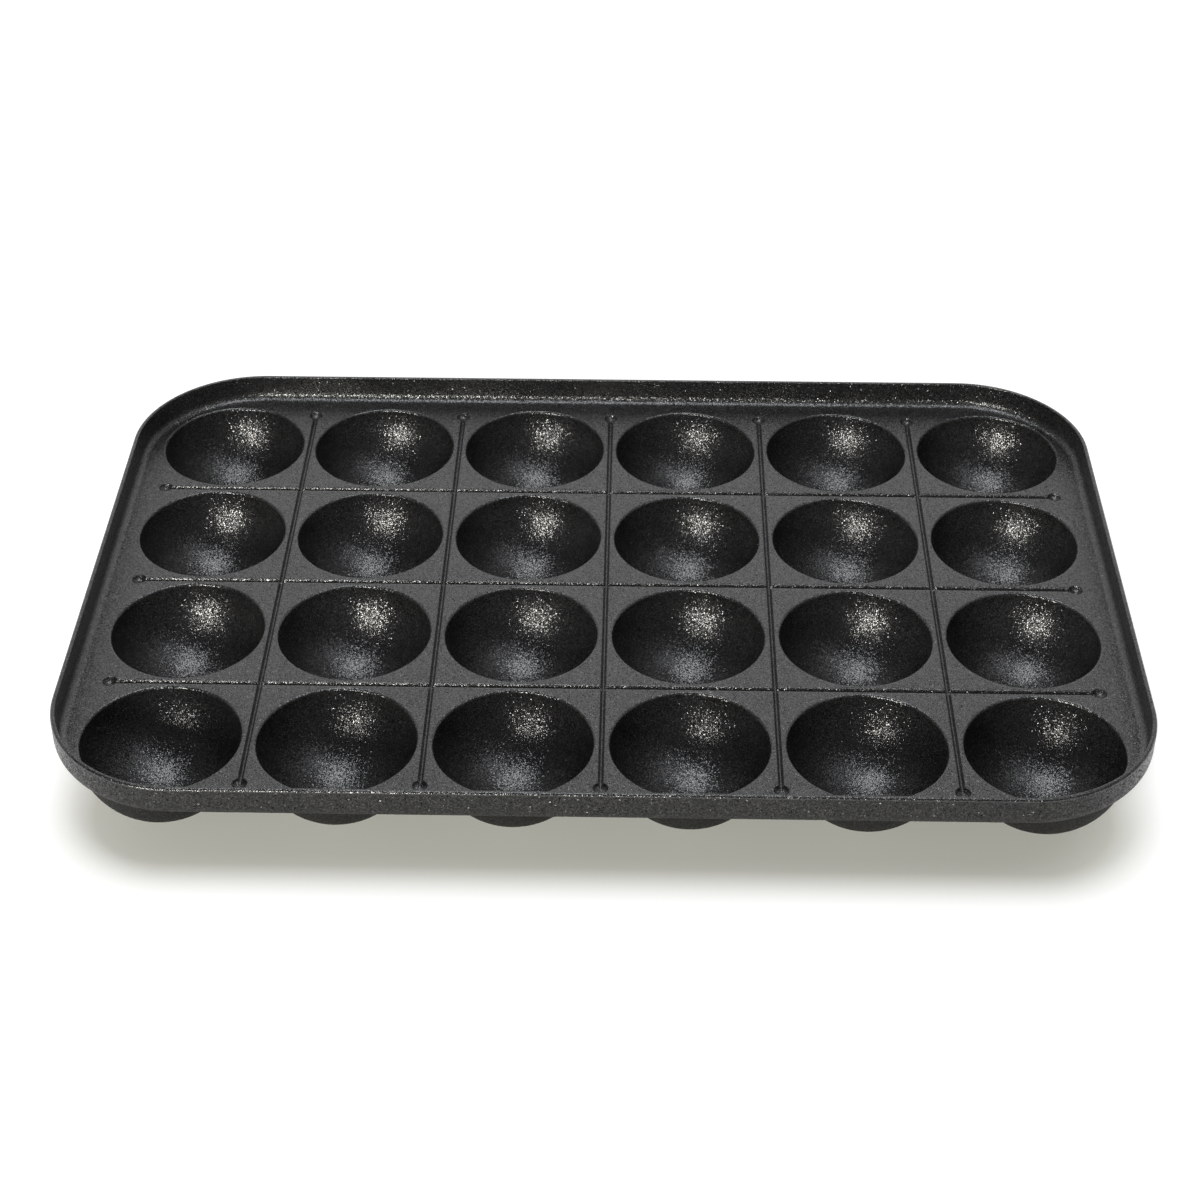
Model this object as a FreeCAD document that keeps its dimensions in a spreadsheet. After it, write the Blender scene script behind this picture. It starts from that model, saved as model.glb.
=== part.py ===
"""Cast takoyaki plate: 24 hemispherical wells in a flat deck with a raised rim.

The plate is drawn as one casting with its own feature tree, in the way that its mould is cut:
a tray, the bowls' outsides, the bowls' cavities, the dividing grooves and their end dimples.
It is then parted along the middle of the dividing grooves into one piece for each well, and
along the foot of the rim into the rim. Neighbouring pieces meet face to face.

Frame: +X along the six columns, +Y from the front row to the back row, +Z up, in millimetres.
The origin is on the table, under the middle of the plate.
"""
import FreeCAD, Part
import os

import Sketcher

COLUMNS = 6
ROWS = 4

DIMENSIONS = [
    ("mouth_radius", 22.7, "well mouth at deck level, before its lip is rounded"),
    ("bowl_depth", 22.4, "deck to the lowest point of the cavity"),
    ("bowl_wall", 1.5, "thickness of the bowl"),
    ("rest_cut", 0.5, "taken off under each bowl for its resting flat"),
    ("lip_radius", 0.6, "rounding of the well mouth"),
    ("lip_margin", 0.8, "flat deck between lip and groove"),
    ("deck_thickness", 2.0, "web between the bowls"),
    ("groove_width", 1.8, "dividing groove at deck level"),
    ("groove_floor", 1.0, "dividing groove at its floor"),
    ("groove_depth", 0.9, "dividing groove below the deck"),
    ("dimple_radius", 2.2, "groove's end dimple at deck level"),
    ("dimple_depth", 1.3, "groove's end dimple below the deck"),
    ("dimple_inset", 6.0, "dimple's centre in from the edge of the wells' grid"),
    ("rim_rise", 8.3, "deck to the top of the rim"),
    ("rim_wall", 1.4, "rim's thickness at its top"),
    ("rim_draft", 1.0, "slope of the rim's inner face, in degrees"),
    ("rim_foot", 2.4, "fillet between deck and rim"),
    ("rim_margin", 2.3, "flat deck between the wells' grid and the rim's foot"),
    ("rim_corner", 39.4, "plan radius of the rim's outer corners"),
    ("rim_edge", 0.4, "rounding of the rim's top edges"),
]

# Sizes worked out from the driving ones, as expressions on the sheet.
BOWL_RADIUS = "((sizes.mouth_radius ^ 2 + sizes.bowl_depth ^ 2) / (2 * sizes.bowl_depth))"
BOWL_CENTRE = f"({BOWL_RADIUS} - sizes.bowl_depth)"
PITCH = "(2 * (sizes.mouth_radius + sizes.lip_radius + sizes.lip_margin) + sizes.groove_width)"
DECK_LEVEL = "(sizes.bowl_depth + sizes.bowl_wall - sizes.rest_cut)"
RIM_SLOPE_RUN = "(sizes.rim_rise * tan(sizes.rim_draft * 1 deg))"
RIM_BAND = f"(sizes.rim_wall + {RIM_SLOPE_RUN} + sizes.rim_foot)"
GRID_LENGTH = f"({COLUMNS} * {PITCH})"
GRID_WIDTH = f"({ROWS} * {PITCH})"
DECK_LENGTH = f"({GRID_LENGTH} + 2 * sizes.rim_margin)"
DECK_WIDTH = f"({GRID_WIDTH} + 2 * sizes.rim_margin)"
DECK_CORNER = f"(sizes.rim_corner - {RIM_BAND})"
OUTER_LENGTH = f"({DECK_LENGTH} + 2 * {RIM_BAND})"
OUTER_WIDTH = f"({DECK_WIDTH} + 2 * {RIM_BAND})"
DIMPLE_SPHERE = "((sizes.dimple_radius ^ 2 + sizes.dimple_depth ^ 2) / (2 * sizes.dimple_depth))"

QUARTER = 1.5707963267948966          # a quarter turn, in radians
START, END, CENTRE = 1, 2, 3          # points of a sketch element
ORIGIN, AXIS_X, AXIS_Y = -1, -1, -2   # a sketch's own origin and axes


def make_sheet(doc):
    """The driving dimensions, one row each: name, value, note."""
    sheet = doc.addObject("Spreadsheet::Sheet", "sizes")
    for row, (name, value, note) in enumerate(DIMENSIONS, start=1):
        sheet.set(f"A{row}", name)
        sheet.set(f"B{row}", str(value))
        sheet.set(f"C{row}", note)
        sheet.setAlias(f"B{row}", name)
    doc.recompute()
    return sheet


def origin_feature(body, role):
    """One of the body's own origin planes or axes, by its role."""
    return next(item for item in body.Origin.OriginFeatures if item.Role == role)


def new_sketch(body, name, plane):
    """A sketch on one of the body's origin planes."""
    sketch = body.newObject("Sketcher::SketchObject", name)
    sketch.AttachmentSupport = [(origin_feature(body, plane), "")]
    sketch.MapMode = "FlatFace"
    return sketch


def bind(sketch, kind, places, expression, value):
    """Add a dimension to a sketch and tie it to the sheet."""
    number = sketch.addConstraint(Sketcher.Constraint(kind, *places, value))
    sketch.setExpression(f"Constraints[{number}]", expression)


def chain(sketch, elements):
    """Join each element's end to the next one's start, round a closed outline."""
    for element, following in zip(elements, elements[1:] + elements[:1]):
        sketch.addConstraint(Sketcher.Constraint("Coincident", element, END, following, START))


def line(sketch, start, end):
    """A straight edge between two rough places, settled later by the sketch's constraints."""
    return sketch.addGeometry(Part.LineSegment(FreeCAD.Vector(*start, 0), FreeCAD.Vector(*end, 0)))


def arc(sketch, centre, radius, first_angle, last_angle):
    """A rough arc, anticlockwise between two angles in radians."""
    circle = Part.Circle(FreeCAD.Vector(*centre, 0), FreeCAD.Vector(0, 0, 1), radius)
    return sketch.addGeometry(Part.ArcOfCircle(circle, first_angle, last_angle))


def rounded_rectangle(sketch, length, width, corner, rough):
    """A rounded rectangle about the sketch's origin, with bound length, width and corner."""
    long_half, wide_half, radius = rough
    inner_x, inner_y = long_half - radius, wide_half - radius
    corners = [(inner_x, inner_y), (-inner_x, inner_y), (-inner_x, -inner_y), (inner_x, -inner_y)]
    sides = [
        ((long_half, -inner_y), (long_half, inner_y)),
        ((inner_x, wide_half), (-inner_x, wide_half)),
        ((-long_half, inner_y), (-long_half, -inner_y)),
        ((-inner_x, -wide_half), (inner_x, -wide_half)),
    ]
    outline, arcs = [], []
    for turn, (side, middle) in enumerate(zip(sides, corners)):
        outline.append(line(sketch, *side))
        arcs.append(arc(sketch, middle, radius, turn * QUARTER, (turn + 1) * QUARTER))
        outline.append(arcs[-1])
    for element, following in zip(outline, outline[1:] + outline[:1]):
        sketch.addConstraint(Sketcher.Constraint("Tangent", element, END, following, START))
    right, back, left, front = outline[0::2]
    for side in (right, left):
        sketch.addConstraint(Sketcher.Constraint("Vertical", side))
    for side in (back, front):
        sketch.addConstraint(Sketcher.Constraint("Horizontal", side))
    for other in arcs[1:]:
        sketch.addConstraint(Sketcher.Constraint("Equal", arcs[0], other))
    sketch.addConstraint(Sketcher.Constraint("Symmetric", right, START, left, START, ORIGIN, 1))
    bind(sketch, "Radius", (arcs[0],), corner, radius)
    bind(sketch, "DistanceX", (left, START, right, END), length, 2 * long_half)
    bind(sketch, "DistanceY", (front, START, back, END), width, 2 * wide_half)


def edges_where(shape, wanted):
    """Names of the edges for which wanted(edge) holds."""
    return [f"Edge{number}" for number, edge in enumerate(shape.Edges, start=1) if wanted(edge)]


def level_edge(height, tolerance=1e-4):
    """A test for edges that lie flat at one height."""
    return lambda edge: (abs(edge.BoundBox.ZMin - height) < tolerance
                         and abs(edge.BoundBox.ZMax - height) < tolerance)


def fillet(doc, body, name, base, wanted, radius):
    """Round the chosen edges of the body's last feature."""
    doc.recompute()
    feature = body.newObject("PartDesign::Fillet", name)
    feature.Base = (base, edges_where(base.Shape, wanted))
    feature.setExpression("Radius", radius)
    doc.recompute()
    return feature


def deck_outline(body, name):
    """The deck's outline, which the foot of the rim follows."""
    sketch = new_sketch(body, name, "XY_Plane")
    rounded_rectangle(sketch, DECK_LENGTH, DECK_WIDTH, DECK_CORNER, (152, 102, 36))
    return sketch


def rim_section(body):
    """Section of the rim, at the foot's line: foot fillet, wall, crown and rounded underside."""
    sketch = new_sketch(body, "rim_section", "XZ_Plane")
    sketch.setExpression("AttachmentOffset.Base.x", f"{DECK_LENGTH} / 2")
    sketch.setExpression("AttachmentOffset.Base.z", f"{DECK_WIDTH} / 2 - {DECK_CORNER}")
    foot = arc(sketch, (0, 2.4), 2.4, -QUARTER, -0.02)
    inner = line(sketch, (2.4, 2.4), (2.5, 7.9))
    inner_crown = arc(sketch, (2.9, 7.9), 0.4, QUARTER, 2 * QUARTER)
    top = line(sketch, (2.9, 8.3), (3.5, 8.3))
    outer_crown = arc(sketch, (3.5, 7.9), 0.4, 0, QUARTER)
    outer = line(sketch, (3.9, 7.9), (3.9, 1.4))
    underside = arc(sketch, (0, 1.4), 3.9, -QUARTER, 0)
    seam = line(sketch, (0, -2.5), (0, 0))
    joints = [
        (foot, END, inner, START), (inner, END, inner_crown, END),
        (inner_crown, START, top, START), (top, END, outer_crown, END),
        (outer_crown, START, outer, START), (outer, END, underside, END),
    ]
    for joint in joints:
        sketch.addConstraint(Sketcher.Constraint("Tangent", *joint))
    sketch.addConstraint(Sketcher.Constraint("Coincident", underside, START, seam, START))
    sketch.addConstraint(Sketcher.Constraint("Coincident", seam, END, foot, START))
    sketch.addConstraint(Sketcher.Constraint("Coincident", foot, START, ORIGIN, 1))
    for arc_on_seam in (foot, underside):
        sketch.addConstraint(Sketcher.Constraint("PointOnObject", arc_on_seam, CENTRE, AXIS_Y))
    sketch.addConstraint(Sketcher.Constraint("Vertical", seam))
    sketch.addConstraint(Sketcher.Constraint("Vertical", outer))
    sketch.addConstraint(Sketcher.Constraint("Horizontal", top))
    sketch.addConstraint(Sketcher.Constraint("Equal", inner_crown, outer_crown))
    bind(sketch, "Radius", (foot,), "sizes.rim_foot", 2.4)
    bind(sketch, "Radius", (underside,), RIM_BAND, 3.945)
    bind(sketch, "Radius", (inner_crown,), "sizes.rim_edge", 0.4)
    bind(sketch, "DistanceY", (ORIGIN, 1, top, START), "sizes.rim_rise", 8.3)
    bind(sketch, "DistanceY", (seam, START, ORIGIN, 1), "sizes.deck_thickness", 2.5)
    bind(sketch, "Angle", (inner,), "(90 - sizes.rim_draft) * 1 deg", QUARTER - 0.017)
    return sketch


def make_rim(doc):
    """The rim: its section carried round the deck's outline."""
    body = doc.addObject("PartDesign::Body", "rim")
    path = deck_outline(body, "foot_line")
    section = rim_section(body)
    rim = body.newObject("PartDesign::AdditivePipe", "upstand")
    rim.Profile = section
    rim.Spine = (path, [f"Edge{number + 1}" for number in range(8)])
    body.setExpression("Placement.Base.z", DECK_LEVEL)
    doc.recompute()
    return body


def repeat_over_grid(body, name, feature):
    """Copy the first well's feature over every column and row."""
    pattern = body.newObject("PartDesign::LinearPattern", name)
    pattern.Originals = [feature]
    pattern.Direction = (origin_feature(body, "X_Axis"), [""])
    pattern.Direction2 = (origin_feature(body, "Y_Axis"), [""])
    pattern.Occurrences = COLUMNS
    pattern.Occurrences2 = ROWS
    pattern.setExpression("Length", f"{COLUMNS - 1} * {PITCH}")
    pattern.setExpression("Length2", f"{ROWS - 1} * {PITCH}")
    body.Tip = pattern
    return pattern


def place_at_first_well(sketch):
    """Move an upright sketch to the axis of the front left well."""
    sketch.setExpression("AttachmentOffset.Base.x", f"-{COLUMNS - 1} * {PITCH} / 2")
    sketch.setExpression("AttachmentOffset.Base.z", f"{ROWS - 1} * {PITCH} / 2")


def make_bowl_outsides(body):
    """The bowls under the deck: part of a sphere, cut flat where it rests on the table."""
    sketch = new_sketch(body, "bowl_outside", "XZ_Plane")
    place_at_first_well(sketch)
    flat = line(sketch, (0, -23.4), (5, -23.4))
    shell = arc(sketch, (0, 0.3), 24.2, -1.37, -0.1)
    shoulder = line(sketch, (24.1, -2), (0, -2))
    middle = line(sketch, (0, -2), (0, -23.4))
    chain(sketch, [flat, shell, shoulder, middle])
    sketch.addConstraint(Sketcher.Constraint("Horizontal", flat))
    sketch.addConstraint(Sketcher.Constraint("Horizontal", shoulder))
    sketch.addConstraint(Sketcher.Constraint("PointOnObject", shell, CENTRE, AXIS_Y))
    sketch.addConstraint(Sketcher.Constraint("PointOnObject", flat, START, AXIS_Y))
    sketch.addConstraint(Sketcher.Constraint("PointOnObject", middle, START, AXIS_Y))
    bind(sketch, "Radius", (shell,), f"{BOWL_RADIUS} + sizes.bowl_wall", 24.2)
    bind(sketch, "DistanceY", (ORIGIN, 1, shell, CENTRE), BOWL_CENTRE, 0.3)
    bind(sketch, "DistanceY", (flat, START, ORIGIN, 1), DECK_LEVEL, 23.4)
    bind(sketch, "DistanceY", (middle, START, ORIGIN, 1), "sizes.deck_thickness", 2.0)
    bowl = body.newObject("PartDesign::Revolution", "bowl")
    bowl.Profile = sketch
    bowl.ReferenceAxis = (sketch, ["V_Axis"])
    return repeat_over_grid(body, "bowls", bowl)


def make_cavities(doc, body, mouth_radius):
    """The hollow of every well, with its mouth rounded."""
    sketch = new_sketch(body, "cavity_section", "XZ_Plane")
    place_at_first_well(sketch)
    ball = arc(sketch, (0, 0.3), 22.7, -QUARTER, QUARTER)
    middle = line(sketch, (0, 23.0), (0, -22.4))
    chain(sketch, [ball, middle])
    sketch.addConstraint(Sketcher.Constraint("PointOnObject", ball, CENTRE, AXIS_Y))
    sketch.addConstraint(Sketcher.Constraint("PointOnObject", ball, START, AXIS_Y))
    sketch.addConstraint(Sketcher.Constraint("PointOnObject", ball, END, AXIS_Y))
    bind(sketch, "Radius", (ball,), BOWL_RADIUS, 22.7)
    bind(sketch, "DistanceY", (ORIGIN, 1, ball, CENTRE), BOWL_CENTRE, 0.3)
    cavity = body.newObject("PartDesign::Groove", "cavity")
    cavity.Profile = sketch
    cavity.ReferenceAxis = (sketch, ["V_Axis"])
    cavities = repeat_over_grid(body, "cavities", cavity)

    def is_mouth(edge):
        return level_edge(0.0)(edge) and abs(edge.BoundBox.XLength - 2 * mouth_radius) < 0.01

    return fillet(doc, body, "well_lips", cavities, is_mouth, "sizes.lip_radius")


def make_grooves(body, direction, count, run_length):
    """Parallel dividing grooves, midway between the wells, along X or along Y."""
    plane, across = {"along_y": ("XZ_Plane", "X_Axis"), "along_x": ("YZ_Plane", "Y_Axis")}[direction]
    sketch = new_sketch(body, f"groove_{direction}_section", plane)
    sketch.setExpression("AttachmentOffset.Base.x", f"-{count - 1} * {PITCH} / 2")
    floor = line(sketch, (-0.7, -1), (0.7, -1))
    right = line(sketch, (0.7, -1), (1.2, 0))
    deck = line(sketch, (1.2, 0), (-1.2, 0))
    left = line(sketch, (-1.2, 0), (-0.7, -1))
    chain(sketch, [floor, right, deck, left])
    sketch.addConstraint(Sketcher.Constraint("Symmetric", deck, START, deck, END, ORIGIN, 1))
    sketch.addConstraint(Sketcher.Constraint("PointOnObject", deck, START, AXIS_X))
    sketch.addConstraint(Sketcher.Constraint("Symmetric", floor, START, floor, END, AXIS_Y))
    bind(sketch, "DistanceX", (floor, START, floor, END), "sizes.groove_floor", 1.4)
    bind(sketch, "DistanceX", (deck, END, deck, START), "sizes.groove_width", 2.4)
    bind(sketch, "DistanceY", (floor, START, ORIGIN, 1), "sizes.groove_depth", 1.0)
    groove = body.newObject("PartDesign::Pocket", f"groove_{direction}")
    groove.Profile = sketch
    groove.Midplane = True
    groove.setExpression("Length", run_length)
    pattern = body.newObject("PartDesign::LinearPattern", f"grooves_{direction}")
    pattern.Originals = [groove]
    pattern.Direction = (origin_feature(body, across), [""])
    pattern.Mode = "Spacing"
    pattern.setExpression("Offset", PITCH)
    pattern.Occurrences = count
    body.Tip = pattern


def make_dimples(body, direction, count, end_distance):
    """Round dimples at both ends of every groove that runs one way."""
    plane, across = {"along_y": ("XZ_Plane", "X_Axis"), "along_x": ("YZ_Plane", "Y_Axis")}[direction]
    for end, sign in (("near", "-"), ("far", "")):
        sketch = new_sketch(body, f"dimple_{direction}_{end}_section", plane)
        sketch.setExpression("AttachmentOffset.Base.x", f"-{count - 1} * {PITCH} / 2")
        sketch.setExpression("AttachmentOffset.Base.z", f"{sign}({end_distance})")
        ball = arc(sketch, (0, 1.2), 2.5, -QUARTER, QUARTER)
        middle = line(sketch, (0, 3.7), (0, -1.3))
        chain(sketch, [ball, middle])
        sketch.addConstraint(Sketcher.Constraint("PointOnObject", ball, CENTRE, AXIS_Y))
        sketch.addConstraint(Sketcher.Constraint("PointOnObject", ball, START, AXIS_Y))
        sketch.addConstraint(Sketcher.Constraint("PointOnObject", ball, END, AXIS_Y))
        bind(sketch, "Radius", (ball,), DIMPLE_SPHERE, 2.5)
        bind(sketch, "DistanceY", (ball, START, ORIGIN, 1), "sizes.dimple_depth", 1.3)
        dimple = body.newObject("PartDesign::Groove", f"dimple_{direction}_{end}")
        dimple.Profile = sketch
        dimple.ReferenceAxis = (sketch, ["V_Axis"])
        pattern = body.newObject("PartDesign::LinearPattern", f"dimples_{direction}_{end}")
        pattern.Originals = [dimple]
        pattern.Direction = (origin_feature(body, across), [""])
        pattern.Mode = "Spacing"
        pattern.setExpression("Offset", PITCH)
        pattern.Occurrences = count
        body.Tip = pattern


def make_deck(doc, sheet):
    """Deck with all its bowls, cavities, grooves and dimples, inside the rim."""
    body = doc.addObject("PartDesign::Body", "deck")
    web = body.newObject("PartDesign::Pad", "web")
    web.Profile = deck_outline(body, "deck_edge")
    web.Reversed = True
    web.setExpression("Length", "sizes.deck_thickness")
    make_bowl_outsides(body)
    make_cavities(doc, body, sheet.mouth_radius)
    half_width = f"{GRID_WIDTH} / 2 - sizes.dimple_inset"
    half_length = f"{GRID_LENGTH} / 2 - sizes.dimple_inset"
    make_grooves(body, "along_y", COLUMNS - 1, f"2 * ({half_width})")
    make_grooves(body, "along_x", ROWS - 1, f"2 * ({half_length})")
    make_dimples(body, "along_y", COLUMNS - 1, half_width)
    make_dimples(body, "along_x", ROWS - 1, half_length)
    body.setExpression("Placement.Base.z", DECK_LEVEL)
    doc.recompute()
    return body


def make_cell(doc, name, column, row):
    """A box over one well, from groove to groove, and out to the rim's outside on the edges."""
    cell = doc.addObject("Part::Box", f"cell_{name}")
    spans = (("x", "Length", column, COLUMNS, OUTER_LENGTH),
             ("y", "Width", row, ROWS, OUTER_WIDTH))
    for axis, side, index, count, outer in spans:
        low = f"{index - count / 2} * {PITCH}"
        high = f"{index + 1 - count / 2} * {PITCH}"
        if index == 0:
            low = f"-{outer} / 2"
        if index == count - 1:
            high = f"{outer} / 2"
        cell.setExpression(f"Placement.Base.{axis}", low)
        cell.setExpression(side, f"({high}) - ({low})")
    cell.setExpression("Height", f"{DECK_LEVEL} + sizes.rim_rise")
    return cell


def make_wells(doc, deck):
    """Part the deck along the grooves into one piece for each well."""
    wells = []
    for row in range(ROWS):
        for column in range(COLUMNS):
            name = f"well_r{row + 1}_c{column + 1}"
            well = doc.addObject("Part::Common", name)
            well.Base = deck
            well.Tool = make_cell(doc, name, column, row)
            well.Label = name
            wells.append(well)
    doc.recompute()
    return wells


def check(doc, pieces):
    """Stop before anything is written if an object failed or a piece isn't one sound solid."""
    for item in doc.Objects:
        if "Invalid" in item.State or "Error" in item.State:
            raise RuntimeError(f"{item.Label} failed: {item.State}")
    for piece in pieces:
        shape = piece.Shape
        if shape.isNull() or not shape.isValid() or len(shape.Solids) != 1:
            raise RuntimeError(f"{piece.Label} is not one sound solid")


def main():
    doc = FreeCAD.newDocument("takoyaki_plate")
    sheet = make_sheet(doc)
    rim = make_rim(doc)
    deck = make_deck(doc, sheet)
    pieces = [rim] + make_wells(doc, deck)
    check(doc, pieces)
    os.makedirs("parts", exist_ok=True)
    for piece in pieces:
        piece.Shape.exportStep(f"parts/{piece.Label}.step")
        box = piece.Shape.BoundBox
        print(f"{piece.Label:12s} volume {piece.Shape.Volume:10.1f} mm3, "
              f"x {box.XMin:8.2f} {box.XMax:8.2f}, y {box.YMin:8.2f} {box.YMax:8.2f}, "
              f"z {box.ZMin:6.2f} {box.ZMax:6.2f}")


main()
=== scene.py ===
"""Looks of the takoyaki plate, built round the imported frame.

Every piece stands for one CAD node: 24 wells, each a zone of the deck with its bowl, and the rim.
The casting is worked in millimetres and written to its meshes in metres; the stage is in metres.
"""
import math

import bpy
import numpy as np
from mathutils import Matrix, Vector
from mathutils.geometry import delaunay_2d_cdt


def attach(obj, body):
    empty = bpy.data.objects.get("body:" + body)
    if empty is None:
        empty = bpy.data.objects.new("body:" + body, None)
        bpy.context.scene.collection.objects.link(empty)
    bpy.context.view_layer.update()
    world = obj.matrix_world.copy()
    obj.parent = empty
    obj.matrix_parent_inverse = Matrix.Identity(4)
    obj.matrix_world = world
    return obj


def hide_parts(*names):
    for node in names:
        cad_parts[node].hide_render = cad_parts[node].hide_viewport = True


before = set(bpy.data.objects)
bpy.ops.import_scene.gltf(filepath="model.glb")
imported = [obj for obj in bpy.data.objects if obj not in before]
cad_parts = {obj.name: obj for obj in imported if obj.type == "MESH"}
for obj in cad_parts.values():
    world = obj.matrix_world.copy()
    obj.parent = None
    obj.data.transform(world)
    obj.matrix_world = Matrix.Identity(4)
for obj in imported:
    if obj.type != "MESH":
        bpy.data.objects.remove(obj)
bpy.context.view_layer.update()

MM = 0.001
INSIDE, OUTSIDE = 0, 1                       # the two coatings, by their place in a mesh's materials

# ---------------------------------------------------------------- sizes of the casting, in mm
COLUMNS, ROWS = 6, 4
PITCH = 50.0
DECK, WEB = 23.4, 21.4                       # top and underside of the deck
MID_WEB = (DECK + WEB) / 2
MOUTH, DEPTH, WALL = 22.7, 22.4, 1.5
CAVITY = (MOUTH ** 2 + DEPTH ** 2) / (2 * DEPTH)
CENTRE = DECK + CAVITY - DEPTH               # height of a well's sphere centre
BOWL = CAVITY + WALL
LIP = 0.85                                   # rounding of a well's mouth
LIP_OUT = math.sqrt((CAVITY + LIP) ** 2 - (CENTRE - DECK + LIP) ** 2)
LIP_IN = LIP_OUT * CAVITY / (CAVITY + LIP)
MARGIN = 2.3                                 # deck between the wells' grid and the rim's foot
GROOVE_WALL, GROOVE_EDGE = 0.8, 1.35         # half widths of a groove and of its rounded shoulders
GROOVE_DEPTH, GROOVE_SHOULDER = 1.15, 0.11   # full depth, and depth where the shoulders meet the groove
DIMPLE_DEPTH, DIMPLE_RADIUS, DIMPLE_INSET = 1.5, 2.2, 6.0
DIMPLE_SPHERE = (DIMPLE_RADIUS ** 2 + DIMPLE_DEPTH ** 2) / (2 * DIMPLE_DEPTH)
DIMPLE_EDGE = 0.3                            # soft edge of a dimple
CUT_SHARPNESS = 6                            # the higher, the sharper the corners where cuts cross
RIM_RISE, RIM_WALL, RIM_FOOT = 8.3, 1.4, 2.4
RIM_INNER_EDGE, RIM_OUTER_EDGE = 0.4, 0.8    # roundings of the rim's top
RIM_DRAFT = math.radians(1.0)
BAND = RIM_WALL + RIM_RISE * math.tan(RIM_DRAFT) + RIM_FOOT
FOOT_X = COLUMNS * PITCH / 2 + MARGIN        # the rim's foot: half lengths, corner radius and centres
FOOT_Y = ROWS * PITCH / 2 + MARGIN
FOOT_CORNER = 39.4 - BAND
CORNER_X, CORNER_Y = FOOT_X - FOOT_CORNER, FOOT_Y - FOOT_CORNER
UNDER_BLEND = 3.0                            # soft join of bowls, web and rim underneath
REST_EDGE = 0.12                             # soft edge of the resting flats

# ---------------------------------------------------------------- fineness of the meshes
TURN = 80                                    # steps round a well
CAVITY_RINGS, LIP_RINGS, BOWL_RINGS = 22, 5, 13
BOWL_END = 23.6                              # radius where a bowl's own rings end underneath
REST_RINGS = (-2.6, -0.5, -0.25, 0.0, 0.3, 0.7, 1.4)               # past the resting flat's edge
WEB_RINGS = (23.85, 24.1, 24.35, 24.6, 24.9, 25.3, 25.8, 26.5, 27.5, 29.0, 31.5)
WEB_GAP = 0.18                               # least distance of those rings from a cell's outline
STRIPS = (0.0, 0.15, 0.28, 0.4, 0.5, 0.6, 0.68, 0.745, 0.855, 0.95, 1.05, 1.2, 1.4)    # beside a groove
STRIP_END = 2.0                              # past a groove's end, no strips this close to its line
DIMPLE_RINGS = (0.5, 1.0, 1.45, 1.8, 2.0, 2.15, 2.3, 2.5, 2.75)
DIMPLE_CORE, CORE_TURN, DIMPLE_TURN = 1.0, 24, 40    # steps round a dimple's rings, fewer in its core
DIMPLE_GAP = 0.15                            # between a dimple's last ring and the strips
STEP = 1.3                                   # along a groove
FOOT_STEP = 2.5                              # along the rim's foot
ARC_STEPS = 32                               # round a corner
RIM_STEPS = {"foot": 10, "inner edge": 7, "outer edge": 10, "under": 14}
HALVINGS = 44                                # of the search for the underside
RIM_SEARCH = (-0.01, 14.0)                   # how far the rim's underside may settle
TINY = 1e-3                                  # length over which slopes are taken
GAP = 1e-4                                   # least distance of a line from a cell's outline
SAME = 1e-6                                  # places nearer than this are one


# ---------------------------------------------------------------- the casting as formulas
def well_centre(column, row):
    return (column - (COLUMNS - 1) / 2) * PITCH, (row - (ROWS - 1) / 2) * PITCH


def soft_max(a, b, reach):
    """The larger of two heights, rounded where they are within reach of each other."""
    near = np.maximum(reach - np.abs(a - b), 0.0) / reach
    return np.maximum(a, b) + near * near * reach / 4


def soft_min(a, b, reach):
    return -soft_max(-a, -b, reach)


def joined_cuts(a, b):
    """Depth of two crossing cuts, with the corners between them rounded off."""
    return (a ** CUT_SHARPNESS + b ** CUT_SHARPNESS) ** (1 / CUT_SHARPNESS)


def groove_cut(distance):
    """Depth of a dividing groove at a distance from its middle line."""
    across = np.clip(distance / GROOVE_WALL, 0, 1)
    shoulder = np.clip((GROOVE_EDGE - distance) / (GROOVE_EDGE - GROOVE_WALL), 0, 1)
    return (GROOVE_DEPTH - GROOVE_SHOULDER) * (1 - across * across) + GROOVE_SHOULDER * shoulder * shoulder


def dimple_cut(distance):
    """Depth of a groove's end dimple at a distance from its middle."""
    inside = np.maximum(DIMPLE_SPHERE ** 2 - distance ** 2, 0)
    return soft_max(np.sqrt(inside) - (DIMPLE_SPHERE - DIMPLE_DEPTH), np.zeros_like(distance), DIMPLE_EDGE)


def groove_places(count):
    """Middle lines of the grooves between so many wells."""
    return [(number - count / 2) * PITCH for number in range(1, count)]


GROOVE_X, GROOVE_Y = groove_places(COLUMNS), groove_places(ROWS)
END_X = COLUMNS * PITCH / 2 - DIMPLE_INSET   # where the grooves end
END_Y = ROWS * PITCH / 2 - DIMPLE_INSET
DIMPLES = ([(x, side * END_Y) for x in GROOVE_X for side in (-1, 1)]
           + [(side * END_X, y) for y in GROOVE_Y for side in (-1, 1)])


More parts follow.
